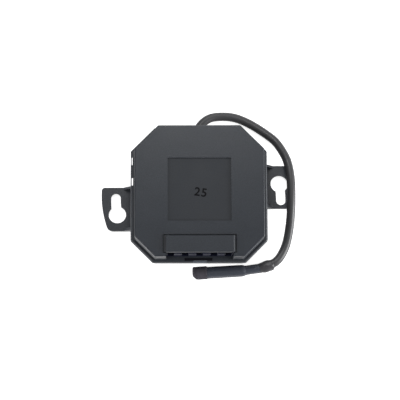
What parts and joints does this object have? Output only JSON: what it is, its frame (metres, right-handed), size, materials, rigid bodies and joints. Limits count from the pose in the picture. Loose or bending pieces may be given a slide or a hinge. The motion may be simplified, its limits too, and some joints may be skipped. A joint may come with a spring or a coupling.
{
  "type": "radio receiver module",
  "caption": "Flat eight-sided radio receiver for a round wall box, with keyhole lugs, screw terminals under a raised cover and an aerial lead that ends in a rod.",
  "frame": {"origin": "centre of the keyhole circle, in the plane of the rear face", "axes": "+Z out of the front cover, +Y away from the wire entries, X through the lugs"},
  "size_m": [0.0704, 0.0621, 0.023],
  "materials": {
    "housing_plastic": "fine satin grain",
    "cover_plastic": "satin",
    "terminal_plastic": "satin",
    "terminal_brass": "bright",
    "cage_steel": "zinc plated",
    "screw_steel": "zinc plated",
    "relay_plastic": "moulded",
    "pin_tin": "tinned",
    "board_laminate": "green varnish",
    "part_epoxy": "moulded",
    "capacitor_sleeve": "shrunk sleeve",
    "dropper_epoxy": "moulded",
    "varistor_epoxy": "dipped",
    "resistor_ceramic": "glazed",
    "diode_glass": "glassy",
    "can_tin": "tinned",
    "button_plastic": "satin",
    "stem_plastic": "moulded",
    "lamp_epoxy": "clear",
    "pipe_acrylic": "clear",
    "lead_rubber": "matt",
    "grommet_rubber": "matt",
    "core_copper": "bright",
    "collar_rubber": "matt",
    "sleeve_plastic": "satin",
    "cap_plastic": "satin, browner"
  },
  "bodies": {
    "housing": {"base_shell": "housing_plastic", "front_cover": "housing_plastic", "terminal_block": "terminal_plastic", "terminal_lid": "terminal_plastic", "terminal_pins": "terminal_brass", "relay_up": "relay_plastic", "relay_down": "relay_plastic", "relay_pins": "pin_tin", "voltage_regulator": "part_epoxy", "smoothing_capacitor": "capacitor_sleeve", "bridge_rectifier": "part_epoxy", "mains_fuse": "part_epoxy", "dropper_capacitor": "dropper_epoxy", "surge_varistor": "varistor_epoxy", "relay_diodes": "diode_glass", "controller_chip": "part_epoxy", "chip_resistors": "resistor_ceramic", "radio_board": "board_laminate", "radio_pins": "pin_tin", "radio_shield_can": "can_tin", "radio_crystal": "can_tin", "board_screws": "screw_steel", "circuit_board": "board_laminate", "pairing_switch": "relay_plastic", "status_led": "lamp_epoxy", "light_pipe": "pipe_acrylic", "lead_grommet": "grommet_rubber", "antenna_lead": "lead_rubber", "lead_core": "core_copper", "aerial_collar": "collar_rubber", "aerial_sleeve": "sleeve_plastic", "aerial_end_cap": "cap_plastic"},
    "terminal_cover": {"terminal_cover": "cover_plastic"},
    "pairing_button": {"pairing_button": "button_plastic", "switch_stem": "stem_plastic"},
    "screw_1": {"terminal_screw_1": "screw_steel"},
    "cage_1": {"clamp_cage_1": "cage_steel"},
    "screw_2": {"terminal_screw_2": "screw_steel"},
    "cage_2": {"clamp_cage_2": "cage_steel"},
    "screw_3": {"terminal_screw_3": "screw_steel"},
    "cage_3": {"clamp_cage_3": "cage_steel"},
    "screw_4": {"terminal_screw_4": "screw_steel"},
    "cage_4": {"clamp_cage_4": "cage_steel"},
    "screw_5": {"terminal_screw_5": "screw_steel"},
    "cage_5": {"clamp_cage_5": "cage_steel"}
  },
  "joints": [
    {"name": "terminal_cover_lift", "type": "slide", "parent": "housing", "child": "terminal_cover", "axis": [0, 0, 1], "range_m": [0, 0.02]},
    {"name": "pairing_button_press", "type": "slide", "parent": "housing", "child": "pairing_button", "axis": [0, 0, 1], "range_m": [0, 0.0005], "stiffness_N_per_m": 200, "springref_m": -0.001},
    {"name": "terminal_screw_1_turn", "type": "hinge", "parent": "housing", "child": "screw_1", "pos_m": [-0.01016, -0.01827, 0.0185], "axis": [0, 0, 1], "range_deg": [-1440, 0]},
    {"name": "clamp_cage_1_rise", "type": "slide", "parent": "housing", "child": "cage_1", "axis": [0, 0, 1], "range_m": [0, 0.0018]},
    {"name": "terminal_screw_2_turn", "type": "hinge", "parent": "housing", "child": "screw_2", "pos_m": [-0.00508, -0.01827, 0.0185], "axis": [0, 0, 1], "range_deg": [-1440, 0]},
    {"name": "clamp_cage_2_rise", "type": "slide", "parent": "housing", "child": "cage_2", "axis": [0, 0, 1], "range_m": [0, 0.0018]},
    {"name": "terminal_screw_3_turn", "type": "hinge", "parent": "housing", "child": "screw_3", "pos_m": [0, -0.01827, 0.0185], "axis": [0, 0, 1], "range_deg": [-1440, 0]},
    {"name": "clamp_cage_3_rise", "type": "slide", "parent": "housing", "child": "cage_3", "axis": [0, 0, 1], "range_m": [0, 0.0018]},
    {"name": "terminal_screw_4_turn", "type": "hinge", "parent": "housing", "child": "screw_4", "pos_m": [0.00508, -0.01827, 0.0185], "axis": [0, 0, 1], "range_deg": [-1440, 0]},
    {"name": "clamp_cage_4_rise", "type": "slide", "parent": "housing", "child": "cage_4", "axis": [0, 0, 1], "range_m": [0, 0.0018]},
    {"name": "terminal_screw_5_turn", "type": "hinge", "parent": "housing", "child": "screw_5", "pos_m": [0.01016, -0.01827, 0.0185], "axis": [0, 0, 1], "range_deg": [-1440, 0]},
    {"name": "clamp_cage_5_rise", "type": "slide", "parent": "housing", "child": "cage_5", "axis": [0, 0, 1], "range_m": [0, 0.0018]}
  ],
  "couplings": [
    {"joint": "terminal_screw_1_turn", "follows": "clamp_cage_1_rise", "rad_per_m": -13963},
    {"joint": "terminal_screw_2_turn", "follows": "clamp_cage_2_rise", "rad_per_m": -13963},
    {"joint": "terminal_screw_3_turn", "follows": "clamp_cage_3_rise", "rad_per_m": -13963},
    {"joint": "terminal_screw_4_turn", "follows": "clamp_cage_4_rise", "rad_per_m": -13963},
    {"joint": "terminal_screw_5_turn", "follows": "clamp_cage_5_rise", "rad_per_m": -13963}
  ]
}
